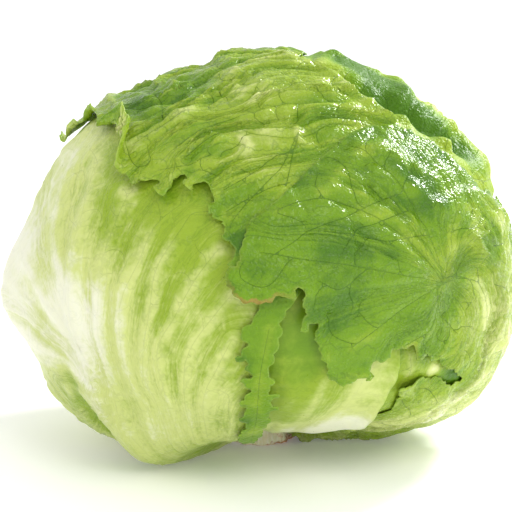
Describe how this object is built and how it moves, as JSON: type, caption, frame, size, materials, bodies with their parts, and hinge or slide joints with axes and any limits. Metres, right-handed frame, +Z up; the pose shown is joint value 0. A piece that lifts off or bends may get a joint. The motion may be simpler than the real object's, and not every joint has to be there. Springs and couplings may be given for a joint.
{
  "type": "iceberg lettuce",
  "caption": "Whole iceberg lettuce head with loose wrapper leaves folded over a packed heart, resting upright on its cut stump.",
  "frame": {"origin": "middle of the stump's flat cut face, on the surface that the head stands on", "axes": "+Z up along the stump toward the crown; -Y is the front, with the pale ribbed leaf on its left (-X) and the green wrapper leaf on its right (+X)"},
  "size_m": [0.1809, 0.1719, 0.141],
  "materials": {
    "leaf_green": "fresh green leaf blade, lightly waxy, paler toward its ribs and base",
    "leaf_pale": "pale yellow-green leaf blade with near-white ribs, lightly waxy",
    "heart": "pale packed inner leaves",
    "stem": "moist cream cut stump with a browned rim"
  },
  "bodies": {
    "root": {"stem": "stem", "heart": "heart", "leaf_rear": "leaf_green", "leaf_right_rear": "leaf_green", "leaf_left_rear": "leaf_green", "leaf_under": "leaf_green", "leaf_front": "leaf_pale", "leaf_left": "leaf_pale", "leaf_tongue": "leaf_green", "leaf_crown": "leaf_green", "leaf_right": "leaf_green"}
  },
  "joints": []
}
